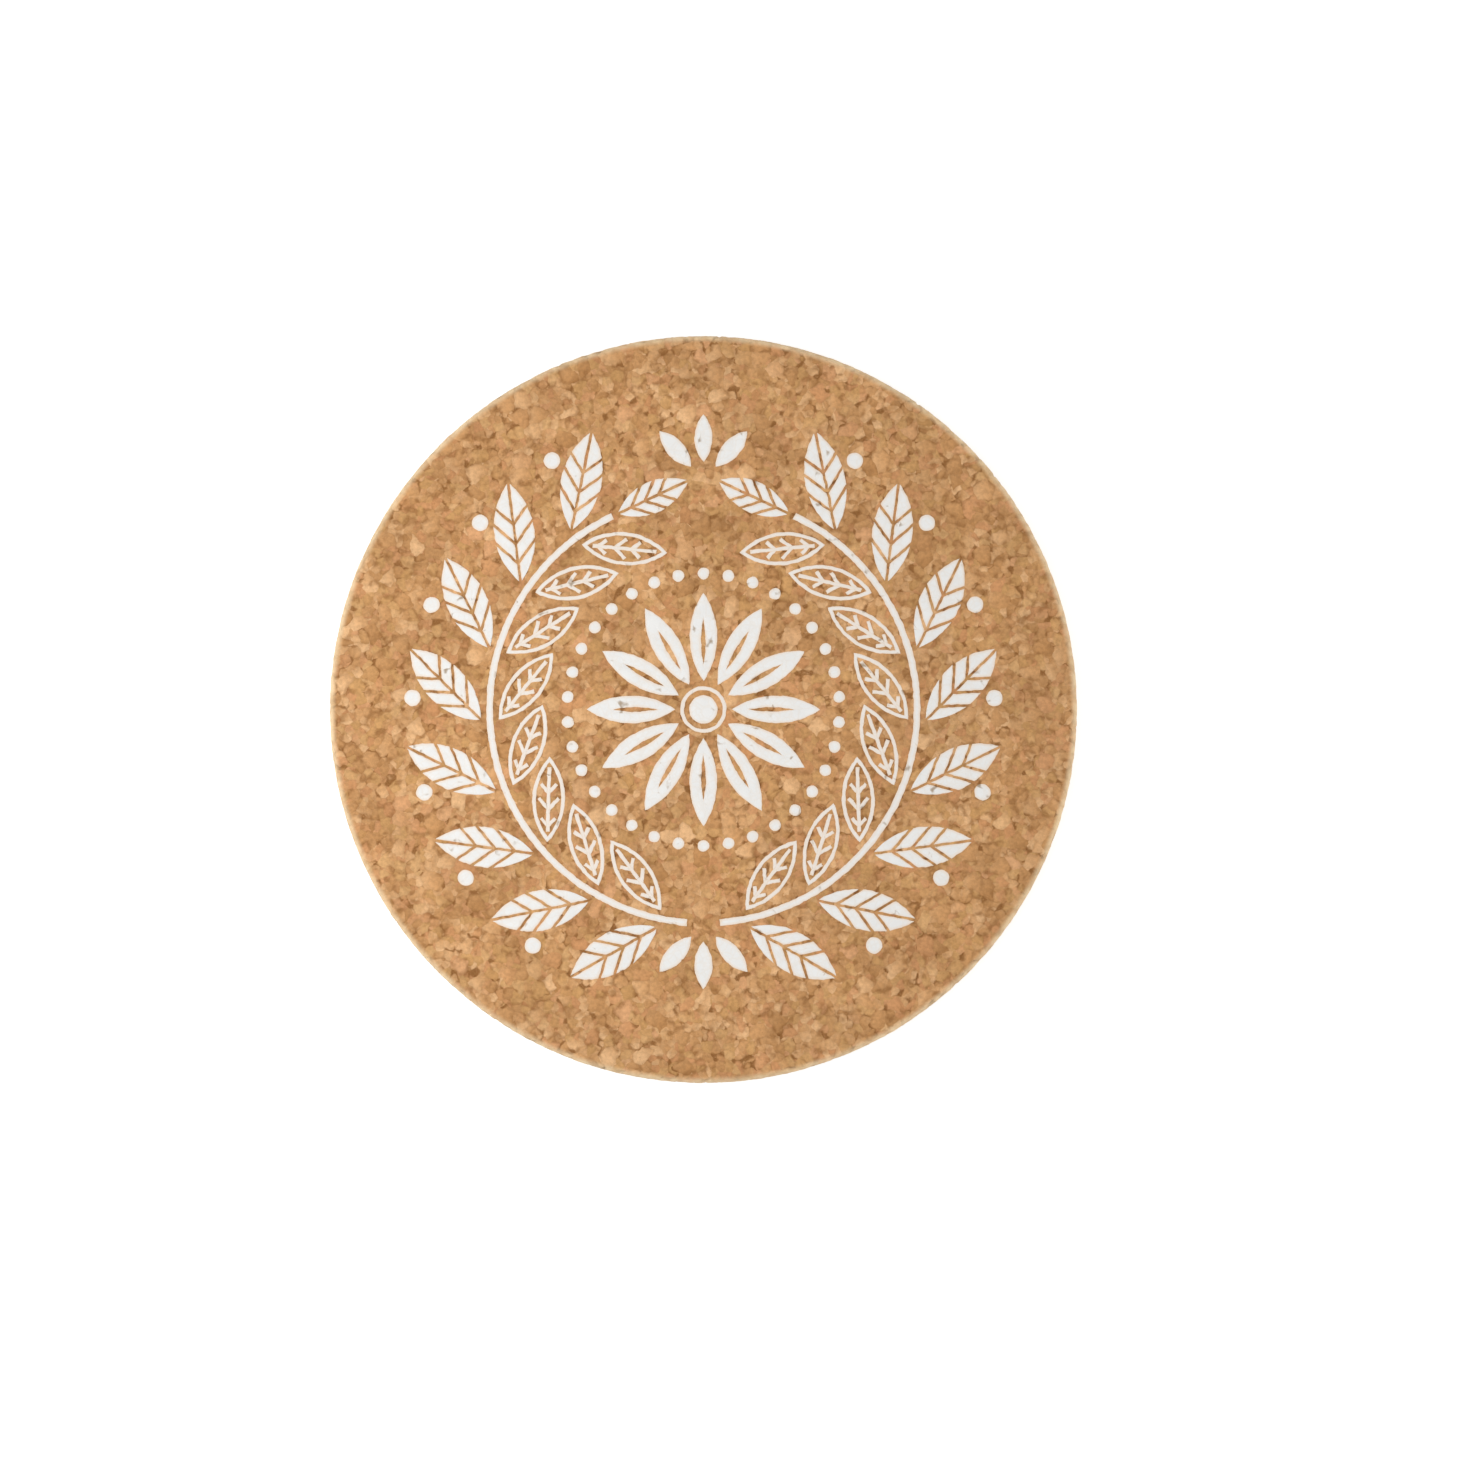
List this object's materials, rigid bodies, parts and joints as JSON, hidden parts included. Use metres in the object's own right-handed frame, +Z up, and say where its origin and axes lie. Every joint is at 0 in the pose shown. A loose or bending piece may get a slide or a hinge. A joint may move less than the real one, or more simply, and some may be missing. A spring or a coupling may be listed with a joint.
{
  "type": "drink coaster",
  "caption": "Round flat coaster of pressed cork granules with an eased edge and a white printed leaf wreath, to stand a cup or glass on.",
  "frame": {"origin": "centre of the lower face, on the table", "axes": "+Z up out of the printed face, +Y towards the top of the print, +X to the right of the print"},
  "size_m": [0.1, 0.1, 0.0041],
  "materials": {
    "cork": "pressed cork granules, sanded, matte",
    "white_ink": "matte white screen print"
  },
  "bodies": {
    "root": {"cork_disc": "cork", "printed_stems": "white_ink", "printed_solid_leaves": "white_ink", "printed_leaf_outlines": "white_ink", "printed_leaf_veins": "white_ink", "printed_tip_leaves": "white_ink", "printed_fan_leaves": "white_ink", "printed_berries": "white_ink", "printed_beads": "white_ink", "printed_petals": "white_ink", "printed_eye_ring": "white_ink", "printed_eye": "white_ink"}
  },
  "joints": []
}
